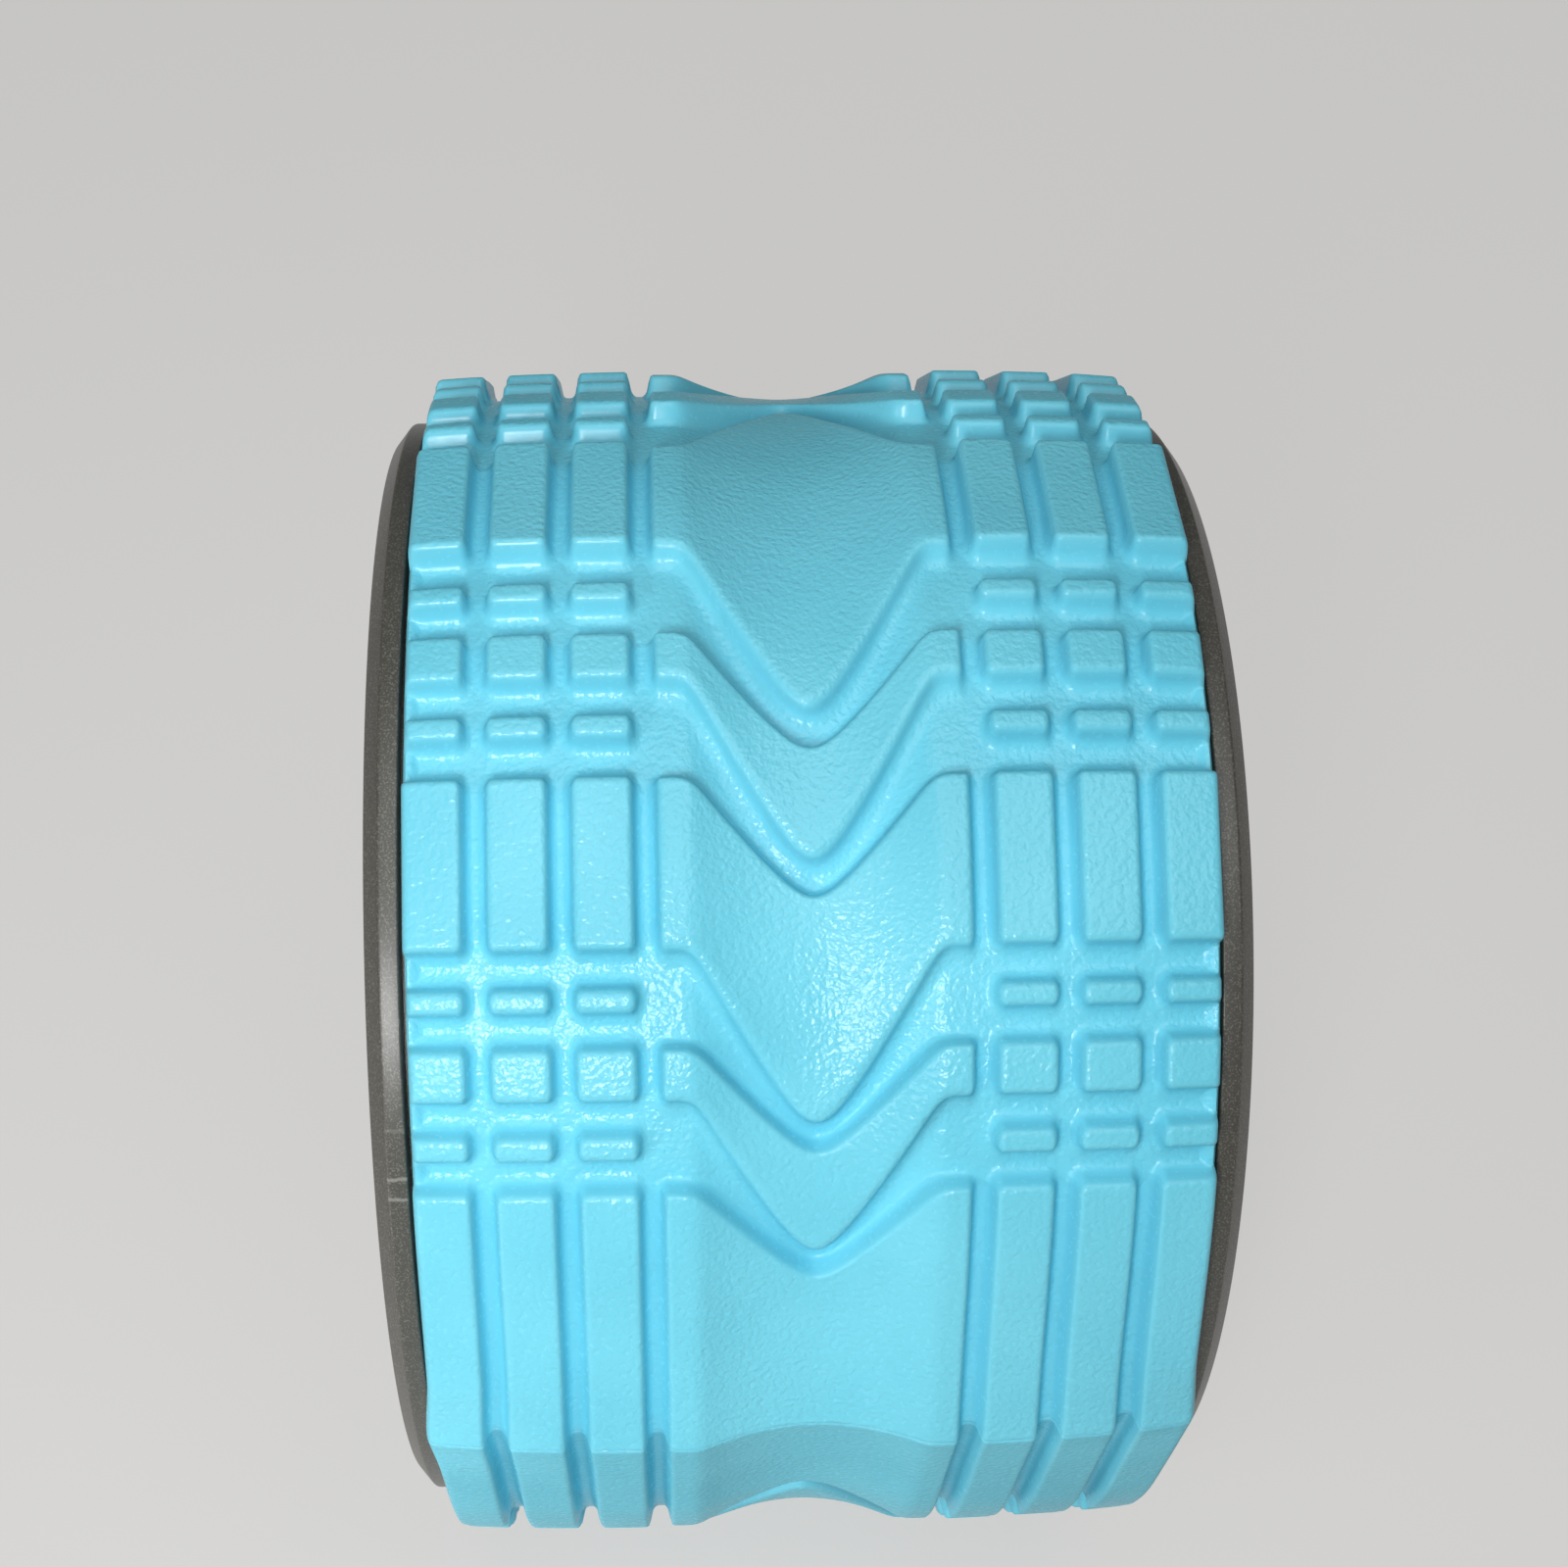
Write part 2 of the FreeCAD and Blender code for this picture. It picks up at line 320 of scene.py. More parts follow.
# The tread is a flat sheet of width and turn, raised into blocks and panels, then bent round the tube
def buildTreadTree():
    tree = bpy.data.node_groups.new("foamHalfTread", "GeometryNodeTree")
    tree.is_modifier = True
    face = tree.interface
    inputSizes = {
        "Radius": tread["radius"], "Inner Radius": tread["inner"], "Half Width": tread["halfWidth"],
        "Relief": tread["relief"], "Wall Draft": tread["wallDraft"], "Column": tread["column"],
        "Groove": tread["groove"], "Half Panel": tread["halfPanel"], "Half Dish": tread["halfDish"],
        "Dish Depth": tread["dishDepth"], "Top Round": tread["topRound"], "Root Round": tread["rootRound"],
        "Side Round": tread["sideRound"], "Front Round": tread["frontRound"],
        "Back Round": tread["backRound"], "Crown": tread["crown"], "Seam Curl": tread["seamCurl"],
        "Seam Flare": tread["seamFlare"], "Unevenness": tread["unevenness"],
    }
    face.new_socket("Geometry", in_out="OUTPUT", socket_type="NodeSocketGeometry")
    for name, value in inputSizes.items():
        socket = face.new_socket(name, in_out="INPUT", socket_type="NodeSocketFloat")
        socket.default_value = value * mm
    face.new_socket("Foam", in_out="INPUT", socket_type="NodeSocketMaterial")
    given = addNode(tree, "NodeGroupInput").outputs
    maths = "ShaderNodeMath"

    # The sheet: its X is the width, and its Y is the turn in radians.
    # The pattern's middle is off the sheet's own, because the seam is.
    wide = addNode(tree, maths, [given["Half Width"], 2.0], operation="MULTIPLY")
    seamTurn = math.pi / 2 - tread["seamGap"] / 2 / tread["radius"]
    acrossCount = round(2 * tread["halfWidth"] / tread["acrossStep"]) + 1
    alongCount = round(math.pi * tread["radius"] / tread["alongStep"]) + 1
    sheet = addNode(tree, "GeometryNodeMeshGrid", {
        "Size X": wide, "Size Y": 2 * seamTurn, "Vertices X": acrossCount, "Vertices Y": alongCount})
    place = addNode(tree, "ShaderNodeSeparateXYZ", [addNode(tree, "GeometryNodeInputPosition")])
    sheetTurn = place.outputs["Y"]
    turn = addNode(tree, maths, [sheetTurn, math.radians(tread["seamShift"])], operation="SUBTRACT")
    turned = addNode(tree, maths, [turn], operation="ABSOLUTE")
    along = addNode(tree, maths, [turned, given["Radius"]], operation="MULTIPLY")

    # The columns of blocks. The sheet's points are gathered at the grooves between them, where the walls are.
    pitch = addNode(tree, maths, [given["Column"], given["Groove"]], operation="ADD")
    halfGroove = addNode(tree, maths, [given["Groove"], 0.5], operation="MULTIPLY")
    halfColumn = addNode(tree, maths, [given["Column"], 0.5], operation="MULTIPLY")
    halfPitch = addNode(tree, maths, [pitch, 0.5], operation="MULTIPLY")
    firstGroove = addNode(tree, maths, [given["Half Panel"], halfGroove], operation="ADD")
    plain = addNode(tree, maths, [place.outputs["X"]], operation="ABSOLUTE")
    period = addNode(tree, maths, [plain, firstGroove], operation="SUBTRACT")
    period = addNode(tree, maths, [period, pitch], operation="DIVIDE")
    period = addNode(tree, "ShaderNodeClamp", [period, -0.5, 2.5])
    period = addNode(tree, maths, [period, 2 * math.pi], operation="MULTIPLY")
    gather = addNode(tree, maths, [period], operation="SINE")
    gather = addNode(tree, maths, [gather, pitch], operation="MULTIPLY")
    across = addNode(tree, maths, [gather, -tread["gather"], plain], operation="MULTIPLY_ADD")
    side = addNode(tree, maths, [place.outputs["X"]], operation="SIGN")
    width = addNode(tree, maths, [across, side], operation="MULTIPLY")

    # How far each point lies outside the nearest column of blocks
    fromGroove = addNode(tree, maths, [across, firstGroove], operation="SUBTRACT")
    inPitch = addNode(tree, maths, [fromGroove, pitch], operation="FLOORED_MODULO")
    fromMiddle = addNode(tree, maths, [inPitch, halfPitch], operation="SUBTRACT")
    fromMiddle = addNode(tree, maths, [fromMiddle], operation="ABSOLUTE")
    offColumn = addNode(tree, maths, [fromMiddle, halfColumn], operation="SUBTRACT")
    lastEdge = addNode(tree, maths, [given["Half Width"], given["Column"]], operation="SUBTRACT")
    offLast = addNode(tree, maths, [lastEdge, across], operation="SUBTRACT")
    offColumn = addNode(tree, maths, [offColumn, offLast], operation="MINIMUM")
    toCentre = addNode(tree, maths, [halfGroove, fromGroove], operation="SUBTRACT")
    offColumn = addNode(tree, maths, [offColumn, toCentre], operation="MAXIMUM")
    steeper = tread["wallDraft"] / tread["columnDraft"]
    offColumn = addNode(tree, maths, [offColumn, steeper], operation="MULTIPLY")

    # How far it lies outside the nearest row, and how much the long rows' flat faces stand above the curve
    offRow = addNode(tree, maths, [arcOf(tread["endRow"]), along], operation="SUBTRACT")
    endEdge = addNode(tree, maths, [given["Half Width"], tread["endInset"] * mm], operation="SUBTRACT")
    offEnd = addNode(tree, maths, [across, endEdge], operation="SUBTRACT")
    offEnd = addNode(tree, maths, [offEnd, tread["wallDraft"] / tread["endDraft"]], operation="MULTIPLY")
    lift = None
    for start, end in [(-tread["firstRow"], tread["firstRow"])] + tread["rows"]:
        half = arcOf((end - start) / 2)
        isLong = end - start > tread["longRow"]
        off = addNode(tree, maths, [along, arcOf((start + end) / 2)], operation="SUBTRACT")
        off = addNode(tree, maths, [off], operation="ABSOLUTE")
        if isLong:
            rise = addNode(tree, maths, [off, half], operation="MINIMUM")
            rise = addNode(tree, maths, [rise, rise], operation="MULTIPLY")
            rise = addNode(tree, maths, [rise, 0.5 / (tread["radius"] * mm)], operation="MULTIPLY")
            here = addNode(tree, maths, [off, half + tread["flatMargin"] * mm], operation="LESS_THAN")
            rise = addNode(tree, maths, [rise, here], operation="MULTIPLY")
            lift = addNode(tree, maths, [rise, lift if lift else 0.0], operation="ADD")
        off = addNode(tree, maths, [off, half], operation="SUBTRACT")
        if not isLong:
            off = addNode(tree, maths, [off, offEnd, tread["endBlend"] * mm], operation="SMOOTH_MAX")
        offRow = addNode(tree, maths, [offRow, off], operation="MINIMUM")
    outerHalf = addNode(tree, maths, [fromGroove, 0.0], operation="GREATER_THAN")
    lift = addNode(tree, maths, [lift, outerHalf], operation="MULTIPLY")

    # The central panels' ends run to a point: 1 in the middle, falling to 0 at the dish's edge
    pointRun = math.hypot(tread["halfDish"], tread["tipRound"]) - tread["tipRound"]

    def pointAt(distance):
        rounded = addNode(tree, maths, [distance, distance], operation="MULTIPLY")
        rounded = addNode(tree, maths, [rounded, (tread["tipRound"] * mm) ** 2], operation="ADD")
        rounded = addNode(tree, maths, [rounded], operation="SQRT")
        falling = [rounded, -1 / (pointRun * mm), 1 + tread["tipRound"] / pointRun]
        falling = addNode(tree, maths, falling, operation="MULTIPLY_ADD")
        return addNode(tree, maths, [falling, 0.0, tread["shoulderBlend"]], operation="SMOOTH_MAX")

    point = pointAt(across)
    probe = tread["slopeProbe"] * mm
    nearer = pointAt(addNode(tree, maths, [across, probe], operation="SUBTRACT"))
    farther = pointAt(addNode(tree, maths, [across, probe], operation="ADD"))
    pointSlope = addNode(tree, maths, [nearer, farther], operation="SUBTRACT")
    ends = {}
    for name in ("notch", "tip"):
        depth = arcOf(tread[name])
        shifted = addNode(tree, maths, [point, -depth, along], operation="MULTIPLY_ADD")
        slope = addNode(tree, maths, [pointSlope, depth / (2 * probe)], operation="MULTIPLY")
        square = addNode(tree, maths, [slope, slope, 1.0], operation="MULTIPLY_ADD")
        square = addNode(tree, maths, [square], operation="INVERSE_SQRT")
        steepness = tread["wallDraft"] / tread[name + "Draft"]
        square = addNode(tree, maths, [square, steepness], operation="MULTIPLY")
        ends[name] = (shifted, square)
    offTip = addNode(tree, maths, [ends["tip"][0], arcOf(tread["firstRow"])], operation="SUBTRACT")
    offPanel = addNode(tree, maths, [offTip, ends["tip"][1]], operation="MULTIPLY")
    for start, end in tread["rows"][1::2] + [(tread["endRow"], None)]:
        off = addNode(tree, maths, [arcOf(start), ends["notch"][0]], operation="SUBTRACT")
        off = addNode(tree, maths, [off, ends["notch"][1]], operation="MULTIPLY")
        if end:
            offTip = addNode(tree, maths, [ends["tip"][0], arcOf(end)], operation="SUBTRACT")
            offTip = addNode(tree, maths, [offTip, ends["tip"][1]], operation="MULTIPLY")
            off = addNode(tree, maths, [off, offTip], operation="MAXIMUM")
        offPanel = addNode(tree, maths, [offPanel, off], operation="MINIMUM")
    offSide = addNode(tree, maths, [across, given["Half Panel"]], operation="SUBTRACT")
    offSide = addNode(tree, maths, [offSide, steeper], operation="MULTIPLY")

    # Both outlines get rounded corners, and the nearer one counts
    outlines = (
        (offColumn, offRow, tread["blockCorner"] * mm),
        (offSide, offPanel, tread["panelCorner"] * mm),
    )
    nearest = None
    for first, second, corner in outlines:
        first = addNode(tree, maths, [first, corner], operation="ADD")
        second = addNode(tree, maths, [second, corner], operation="ADD")
        outside = addNode(tree, "ShaderNodeCombineXYZ", [
            addNode(tree, maths, [first, 0.0], operation="MAXIMUM"),
            addNode(tree, maths, [second, 0.0], operation="MAXIMUM"),
        ])
        outside = addNode(tree, "ShaderNodeVectorMath", [outside], operation="LENGTH").outputs["Value"]
        inside = addNode(tree, maths, [first, second], operation="MAXIMUM")
        inside = addNode(tree, maths, [inside, 0.0], operation="MINIMUM")
        off = addNode(tree, maths, [outside, inside], operation="ADD")
        off = addNode(tree, maths, [off, corner], operation="SUBTRACT")
        nearest = addNode(tree, maths, [nearest, off], operation="MINIMUM") if nearest else off

    # How far a round edge of a given size has fallen, at a given run along it
    def roundFall(size, run):
        run = addNode(tree, maths, [run, 0.0], operation="MAXIMUM")
        run = addNode(tree, maths, [run, run], operation="MULTIPLY")
        left = addNode(tree, maths, [size, size], operation="MULTIPLY")
        left = addNode(tree, maths, [left, run], operation="SUBTRACT")
        left = addNode(tree, maths, [left, 0.0], operation="MAXIMUM")
        left = addNode(tree, maths, [left], operation="SQRT")
        return addNode(tree, maths, [size, left], operation="SUBTRACT")

    # Block height: a drafted wall, with a round edge at its top and a fillet at its root
    lean = addNode(tree, maths, [given["Relief"], given["Wall Draft"]], operation="ARCTAN2")
    leanRun = addNode(tree, maths, [lean], operation="SINE")
    halfLean = addNode(tree, maths, [lean, 0.5], operation="MULTIPLY")
    halfLean = addNode(tree, maths, [halfLean], operation="TANGENT")
    falls = {}
    for name in ("Top Round", "Root Round"):
        size = given[name]
        reach = addNode(tree, maths, [size, halfLean], operation="MULTIPLY")
        if name == "Top Round":
            run = addNode(tree, maths, [nearest, reach], operation="ADD")
        else:
            run = addNode(tree, maths, [given["Wall Draft"], reach], operation="ADD")
            run = addNode(tree, maths, [run, nearest], operation="SUBTRACT")
        longest = addNode(tree, maths, [size, leanRun], operation="MULTIPLY")
        falls[name] = roundFall(size, addNode(tree, maths, [run, longest], operation="MINIMUM"))
    steep = addNode(tree, maths, [given["Relief"], given["Wall Draft"]], operation="DIVIDE")
    fall = addNode(tree, maths, [nearest, steep], operation="MULTIPLY")
    wall = addNode(tree, maths, [given["Relief"], fall], operation="SUBTRACT")
    top = addNode(tree, maths, [given["Relief"], falls["Top Round"]], operation="SUBTRACT")
    height = addNode(tree, maths, [wall, top], operation="MINIMUM")
    height = addNode(tree, maths, [height, falls["Root Round"]], operation="MAXIMUM")
    share = addNode(tree, maths, [height, given["Relief"]], operation="DIVIDE")
    height = addNode(tree, maths, [lift, share, height], operation="MULTIPLY_ADD")

    # A low rail runs along both sides, past the ends of the rows
    toSide = addNode(tree, maths, [given["Half Width"], across], operation="SUBTRACT")
    rail = addNode(tree, "ShaderNodeMapRange", {
        "Value": toSide, "From Min": tread["railWide"] * mm, "From Max": 0.0, "To Max": tread["rail"] * mm})
    height = addNode(tree, maths, [height, rail], operation="MAXIMUM")

    # The sheet's own curve: round, then straight to the seam, and dished in the middle
    straight = addNode(tree, maths, [sheetTurn], operation="ABSOLUTE")
    straight = addNode(tree, maths, [straight, math.radians(90 - tread["endFlat"])], operation="SUBTRACT")
    straight = addNode(tree, maths, [straight, 0.0], operation="MAXIMUM")
    straight = addNode(tree, maths, [straight], operation="COSINE")
    radius = addNode(tree, maths, [given["Radius"], straight], operation="DIVIDE")
    radius = addNode(tree, maths, [radius, given["Relief"]], operation="SUBTRACT")
    radius = addNode(tree, maths, [radius, height], operation="ADD")
    bowl = addNode(tree, maths, [across, given["Half Dish"]], operation="DIVIDE")
    bowl = addNode(tree, maths, [bowl, bowl], operation="MULTIPLY")
    bowl = addNode(tree, maths, [1.0, bowl], operation="SUBTRACT")
    bowl = addNode(tree, maths, [bowl, 0.0, tread["dishBlend"]], operation="SMOOTH_MAX")
    bowl = addNode(tree, maths, [bowl, given["Dish Depth"]], operation="MULTIPLY")
    radius = addNode(tree, maths, [radius, bowl], operation="SUBTRACT")

    # Rounded edges along both sides and at both seams
    toFront = addNode(tree, maths, [seamTurn, sheetTurn], operation="SUBTRACT")
    toFront = addNode(tree, maths, [toFront, given["Radius"]], operation="MULTIPLY")
    toBack = addNode(tree, maths, [seamTurn, sheetTurn], operation="ADD")
    toBack = addNode(tree, maths, [toBack, given["Radius"]], operation="MULTIPLY")
    edges = ((toSide, "Side Round"), (toFront, "Front Round"), (toBack, "Back Round"))
    for distance, name in edges:
        size = given[name]
        over = addNode(tree, maths, [size, distance], operation="SUBTRACT")
        drop = roundFall(size, over)
        radius = addNode(tree, maths, [radius, drop], operation="SUBTRACT")

    # The tread falls away a little towards its sides, and at the seams its corners curl in and spread
    toSeam = addNode(tree, maths, [toFront, toBack], operation="MINIMUM")
    nearSeam = addNode(tree, "ShaderNodeMapRange", {
        "Value": toSeam, "From Min": tread["seamReach"] * mm, "From Max": 0.0},
        interpolation_type="SMOOTHSTEP")
    outer = addNode(tree, maths, [across, given["Half Width"]], operation="DIVIDE")
    outer = addNode(tree, maths, [outer, tread["curlPower"]], operation="POWER")
    curl = addNode(tree, maths, [nearSeam, given["Seam Curl"], given["Crown"]], operation="MULTIPLY_ADD")
    curl = addNode(tree, maths, [curl, outer], operation="MULTIPLY")
    radius = addNode(tree, maths, [radius, curl], operation="SUBTRACT")
    flare = addNode(tree, maths, [nearSeam, given["Seam Flare"]], operation="MULTIPLY")
    flare = addNode(tree, maths, [flare, outer], operation="MULTIPLY")
    spread = addNode(tree, maths, [flare, side, width], operation="MULTIPLY_ADD")
    sheetPlace = addNode(tree, "ShaderNodeCombineXYZ", [
        width, addNode(tree, maths, [turn, given["Radius"]], operation="MULTIPLY"), 0.0])
    uneven = addNode(tree, "ShaderNodeTexNoise", {
        "Vector": sheetPlace, "Scale": mmPerMetre / tread["unevenSize"], "Detail": 1.0})
    uneven = addNode(tree, maths, [uneven, 0.5], operation="SUBTRACT")
    radius = addNode(tree, maths, [uneven, given["Unevenness"], radius], operation="MULTIPLY_ADD")

    # Bend it round the tube, then run its edges down to the tube
    sine = addNode(tree, maths, [turn], operation="SINE")
    cosine = addNode(tree, maths, [turn], operation="COSINE")
    kept = addNode(tree, "GeometryNodeCaptureAttribute", {"Geometry": sheet})
    kept.capture_items.new("VECTOR", "round")
    roundIn = addNode(tree, "ShaderNodeCombineXYZ", [sine, width, cosine])
    tree.links.new(roundIn.outputs[0], kept.inputs["round"])
    bent = addNode(tree, "ShaderNodeCombineXYZ", [
        addNode(tree, maths, [radius, sine], operation="MULTIPLY"),
        spread,
        addNode(tree, maths, [radius, cosine], operation="MULTIPLY"),
    ])
    raised = addNode(tree, "GeometryNodeSetPosition", {
        "Geometry": kept.outputs["Geometry"], "Position": bent})
    beside = addNode(tree, "GeometryNodeInputMeshEdgeNeighbors")
    border = addNode(tree, maths, [beside, 1.5], operation="LESS_THAN")  # edges with one face beside them
    skirt = addNode(tree, "GeometryNodeExtrudeMesh", {
        "Mesh": raised, "Selection": border, "Offset Scale": 0.0}, mode="EDGES")
    direction = addNode(tree, "ShaderNodeSeparateXYZ", [kept.outputs["round"]])
    seat = addNode(tree, "ShaderNodeCombineXYZ", [
        addNode(tree, maths, [direction.outputs["X"], given["Inner Radius"]], operation="MULTIPLY"),
        direction.outputs["Y"],
        addNode(tree, maths, [direction.outputs["Z"], given["Inner Radius"]], operation="MULTIPLY"),
    ])
    seated = addNode(tree, "GeometryNodeSetPosition", {
        "Geometry": skirt, "Selection": skirt.outputs["Top"], "Position": seat})
    smooth = addNode(tree, "GeometryNodeSetShadeSmooth", {"Geometry": seated})
    dressed = addNode(tree, "GeometryNodeSetMaterial", {"Geometry": smooth, "Material": given["Foam"]})
    whole = addNode(tree, "GeometryNodeRealizeInstances", {"Geometry": dressed})
    addNode(tree, "NodeGroupOutput", {"Geometry": whole})
    return tree


# Closes the underside with strips from edge to edge
def closeUnderside(mesh):
    shape = bmesh.new()
    shape.from_mesh(mesh)
    same, close = 0.001 * mm, 0.01 * mm
    bmesh.ops.remove_doubles(shape, verts=shape.verts, dist=same)
    border = [v for v in shape.verts if any(e.is_boundary for e in v.link_edges)]
    low, high = min(v.co.y for v in border), max(v.co.y for v in border)

    def turnOf(v):
        return math.atan2(v.co.x, v.co.z)

    left = sorted([v for v in border if v.co.y < low + close], key=turnOf)
    right = sorted([v for v in border if v.co.y > high - close], key=turnOf)
    inner = [v for v in border if low + close <= v.co.y <= high - close]
    back = sorted([v for v in inner if v.co.x < 0], key=lambda v: v.co.y)
    front = sorted([v for v in inner if v.co.x > 0], key=lambda v: v.co.y)
    for i in range(len(left) - 1):
        corners = [left[i], left[i + 1]]
        corners += front if i == len(left) - 2 else []
        corners += [right[i + 1], right[i]]
        corners += back[::-1] if i == 0 else []
        shape.faces.new(corners)
    bmesh.ops.recalc_face_normals(shape, faces=shape.faces)
    for polygon in shape.faces:
        polygon.smooth = True
        polygon.material_index = 0
    shape.to_mesh(mesh)
    shape.free()


def makeTreads():
    tree = buildTreadTree()
    maker = addPiece("treadMaker", bpy.data.meshes.new("treadMaker"))
    modifier = maker.modifiers.new("tread", "NODES")
    modifier.node_group = tree
    for item in tree.interface.items_tree:
        if item.in_out == "INPUT" and item.socket_type == "NodeSocketMaterial":
            modifier[item.identifier] = foam
    bpy.context.view_layer.update()
    evaluated = maker.evaluated_get(bpy.context.evaluated_depsgraph_get())
    upper = bpy.data.meshes.new_from_object(evaluated)
    maker.modifiers.remove(modifier)
    bpy.data.objects.remove(maker)
    closeUnderside(upper)
    upper.set_sharp_from_angle(angle=math.radians(tread["sharpAngle"]))
    lower = upper.copy()
    lower.transform(Euler((0, math.pi, 0)).to_matrix().to_4x4())
    for name, mesh in (("tread_upper", upper), ("tread_lower", lower)):
        piece = addPiece(name + "_foam", mesh, foam)
        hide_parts(name)
        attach(piece, "root")
        triangles = sum(len(p.vertices) - 2 for p in mesh.polygons)
        print(name, len(mesh.vertices), "points", triangles, "triangles")


makeTreads()
print("treads made")

# Rim rings and tube: outlines of width and radius, in mm, spun about the axle

hoop = {
    "halfWidth": 65.0,
    "bore": 86.0,
    "tubeRadius": 91.0,
    "rimRadius": 95.0,
    "flange": 5.8,
    "bevelWide": 2.4,
    "bevelDeep": 3.0,
    "bevelRound": 0.6,
    "innerRound": 0.3,
    "lipGap": 0.5,
    "boreRound": 1.0,
    "spigotWall": 2.5,
    "spigotLength": 10.0,
    "clearance": 0.05,
    "steps": 288,
    "boreSteps": 6,
    "footSteps": 5,
    "headSteps": 6,
    "lipSteps": 5,
    "sharpAngle": 32.0,
}


def arcPoints(y, radius, size, start, end, count):
    angles = [math.radians(start + (end - start) * i / count) for i in range(count + 1)]
    return [(y + size * math.cos(a), radius + size * math.sin(a)) for a in angles]


def spinOutline(name, outline, material):
    steps = hoop["steps"]
    points = []
    for i in range(steps):
        turn = 2 * math.pi * i / steps
        points += [(r * math.sin(turn) * mm, y * mm, r * math.cos(turn) * mm) for y, r in outline]
    count = len(outline)
    faces = []
    for i in range(steps):
        for j in range(count):
            here, after = i * count, (i + 1) % steps * count
            nextJ = (j + 1) % count
            faces.append((here + j, here + nextJ, after + nextJ, after + j))
    mesh = bpy.data.meshes.new(name)
    mesh.from_pydata(points, [], faces)
    shape = bmesh.new()
    shape.from_mesh(mesh)
    bmesh.ops.recalc_face_normals(shape, faces=shape.faces)
    shape.to_mesh(mesh)
    shape.free()
    mesh.shade_smooth()
    mesh.set_sharp_from_angle(angle=math.radians(hoop["sharpAngle"]))
    return addPiece(name, mesh, material)


def makeHoop():
    outside = hoop["halfWidth"]
    inside = outside - hoop["flange"]
    spigotEnd = inside - hoop["spigotLength"] + hoop["clearance"]
    spigot = hoop["bore"] + hoop["spigotWall"] - hoop["clearance"]
    ring = [(spigotEnd, hoop["bore"])]
    soft = hoop["boreRound"]
    ring += arcPoints(outside - soft, hoop["bore"] + soft, soft, -90, 0, hoop["boreSteps"])
    lean = math.atan2(hoop["bevelWide"], hoop["bevelDeep"])
    soft = hoop["bevelRound"]
    foot = hoop["rimRadius"] - hoop["bevelDeep"] - soft * math.tan(lean / 2)
    head = outside - hoop["bevelWide"] - soft * math.tan((math.pi / 2 - lean) / 2)
    ring += arcPoints(outside - soft, foot, soft, 0, math.degrees(lean), hoop["footSteps"])
    ring += arcPoints(head, hoop["rimRadius"] - soft, soft, math.degrees(lean), 90, hoop["headSteps"])
    lip = inside + hoop["lipGap"]
    soft = hoop["innerRound"]
    ring += arcPoints(lip + soft, hoop["rimRadius"] - soft, soft, 90, 180, hoop["lipSteps"])
    ring += [(lip, hoop["tubeRadius"]), (inside, hoop["tubeRadius"]), (inside, spigot), (spigotEnd, spigot)]
    for side, node in ((-1, "rim_ring_left"), (1, "rim_ring_right")):
        piece = spinOutline(node + "_moulded", [(side * y, r) for y, r in ring], rimPlastic)
        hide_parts(node)
        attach(piece, "root")
    shoulder = inside - hoop["spigotLength"]
    socket = hoop["bore"] + hoop["spigotWall"]
    half = [(shoulder, hoop["bore"]), (shoulder, socket), (inside, socket), (inside, hoop["tubeRadius"])]
    tube = half + [(-y, r) for y, r in half[::-1]]
    piece = spinOutline("core_tube_extruded", tube, tubePlastic)
    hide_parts("core_tube")
    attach(piece, "root")


makeHoop()
# The glue films are shown as their solids
for node in ("adhesive_upper", "adhesive_lower"):
    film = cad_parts[node]
    film.data.materials.clear()
    film.data.materials.append(glue)
print("hoop made")

# Floor, light and camera

# Places and sizes of the floor and lamps are in metres, and the camera's place is in mm
studio = {
    "floor": "#C8C7C5",
    "floorGlow": "#F1F0EE",
    "floorLift": 0.58,
    "floorRoughness": 0.85,
    "floorSize": 6.0,
    "fibreSize": 1.111,  # mm, since real paper fibre is too fine to show
    "lamps": {
        "keyLamp": {
            "place": (0.465, -0.105, 0.34), "target": (0.08, -0.1, 0.05),
            "size": (0.08, 0.16), "power": 0.48, "spread": 100,
        },
        "sideLamp": {
            "place": (0.372, -0.315, 0.247), "target": (0.08, -0.02, 0.05),
            "size": (0.12, 0.12), "power": 0.39, "spread": 180,
        },
        "lowLamp": {
            "place": (0.27, -0.25, 0.0), "target": (0.09, -0.062, -0.03),
            "size": (0.1, 0.1), "power": 0.018, "spread": 50,
        },
        "topLamp": {
            "place": (0.3, 0.05, 0.85), "target": (0, -0.1, 0),
            "size": (0.6, 0.6), "power": 2.3, "spread": 180,
        },
    },
    "world": "#F2F4F6",
    "worldStrength": 0.12,
    "cameraPlace": (300.94, -22.34, 317.42),
    "cameraTurn": (42.203, -1.471, 87.195),
    "lens": 54.495,
    "sensor": 36.0,
    "shiftUp": 0.1425,
    "clipStart": 0.01,
}


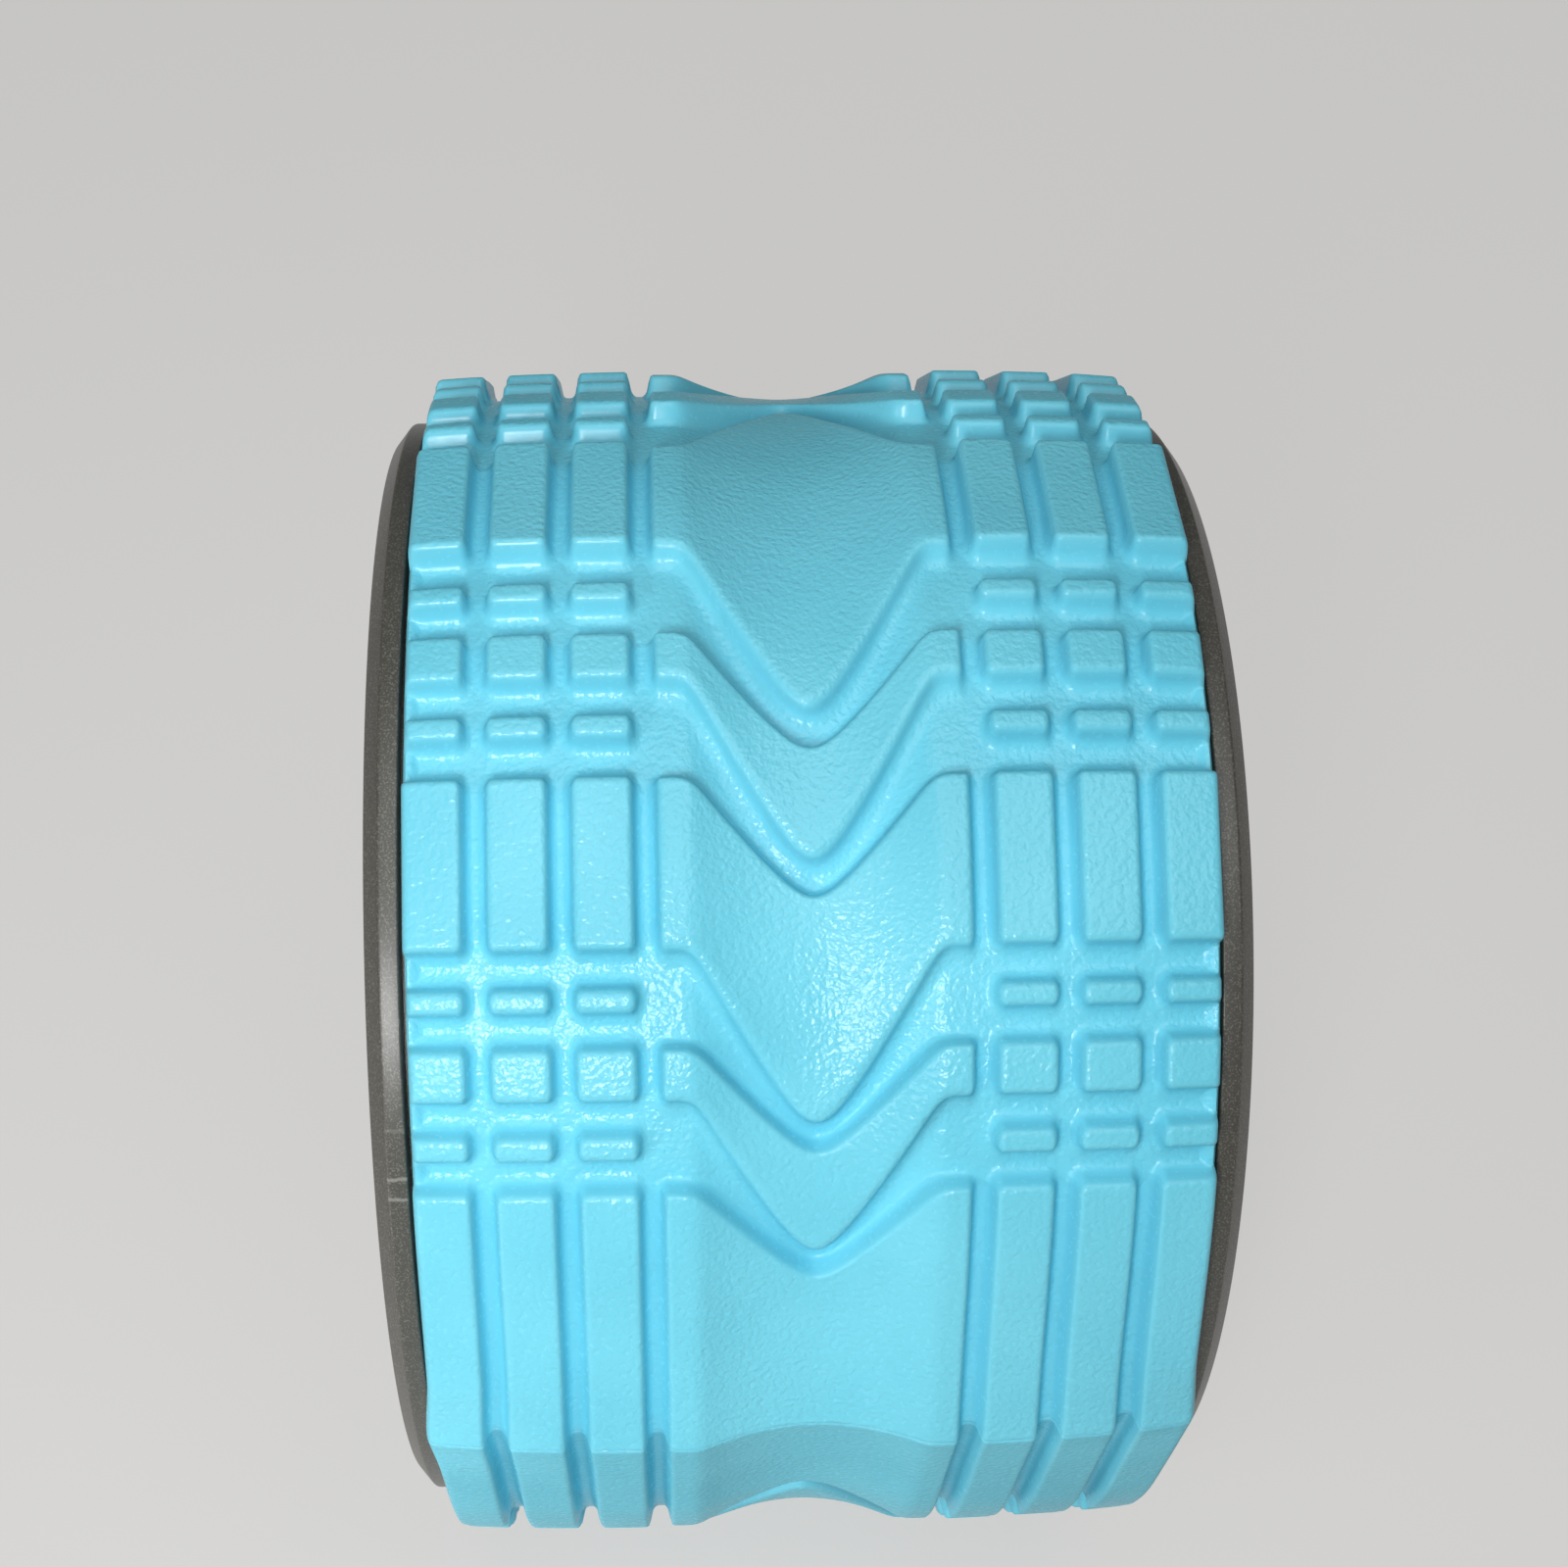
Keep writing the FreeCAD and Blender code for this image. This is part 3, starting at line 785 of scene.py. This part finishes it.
# Backdrop paper, calendered: matte and plain
def makeFloor():
    look, tree = startMaterial("paperBackdropMatte")
    place = addNode(tree, "ShaderNodeTexCoord").outputs["Object"]
    fibre = addNode(tree, "ShaderNodeTexNoise", {
        "Vector": place, "Scale": mmPerMetre / studio["fibreSize"], "Detail": 2.0})
    bump = addNode(tree, "ShaderNodeBump", {"Height": fibre, "Strength": 0.05, "Distance": 0.1 * mm})
    paper = addNode(tree, "ShaderNodeBsdfPrincipled", {
        "Base Color": toLinear(studio["floor"]), "Roughness": studio["floorRoughness"], "Normal": bump})
    glow = addNode(tree, "ShaderNodeEmission", {"Color": toLinear(studio["floorGlow"])})
    # Seen straight or in a reflection, the floor is paler than the light it gives back
    ray = addNode(tree, "ShaderNodeLightPath").outputs
    seen = addNode(tree, "ShaderNodeMath", [ray["Is Camera Ray"], ray["Is Glossy Ray"]], operation="MAXIMUM")
    seen = addNode(tree, "ShaderNodeMath", [seen, ray["Is Transmission Ray"]], operation="MAXIMUM")
    seen = addNode(tree, "ShaderNodeMath", [seen, studio["floorLift"]], operation="MULTIPLY")
    shader = addNode(tree, "ShaderNodeMixShader", [seen, paper, glow])
    addNode(tree, "ShaderNodeOutputMaterial", {"Surface": shader})
    half = studio["floorSize"] / 2
    level = cadBox[0][2]
    corners = [(-half, -half, level), (half, -half, level), (half, half, level), (-half, half, level)]
    mesh = bpy.data.meshes.new("floor")
    mesh.from_pydata(corners, [], [(0, 1, 2, 3)])
    addPiece("floor", mesh, look)


def addLamp(name, place, target, size, power, spread):
    lamp = bpy.data.lights.new(name, "AREA")
    lamp.shape = "RECTANGLE"
    lamp.size, lamp.size_y = size
    lamp.energy = power
    lamp.spread = math.radians(spread)
    holder = bpy.data.objects.new(name, lamp)
    holder.location = place
    holder.rotation_euler = (Vector(target) - Vector(place)).to_track_quat("-Z", "Y").to_euler()
    scene.collection.objects.link(holder)


def makeStudio():
    makeFloor()
    for name, settings in studio["lamps"].items():
        addLamp(name, **settings)
    world = bpy.data.worlds.new("studioWorld")
    world.use_nodes = True
    background = world.node_tree.nodes["Background"].inputs
    background["Color"].default_value = toLinear(studio["world"])
    background["Strength"].default_value = studio["worldStrength"]
    scene.world = world
    lens = bpy.data.cameras.new("camera")
    lens.sensor_fit = "HORIZONTAL"
    lens.sensor_width = studio["sensor"]
    lens.lens = studio["lens"]
    lens.shift_y = studio["shiftUp"]
    lens.clip_start = studio["clipStart"]
    camera = bpy.data.objects.new("camera", lens)
    camera.location = [v * mm for v in studio["cameraPlace"]]
    camera.rotation_euler = [math.radians(a) for a in studio["cameraTurn"]]
    scene.collection.objects.link(camera)
    scene.camera = camera


makeStudio()
print("studio made")
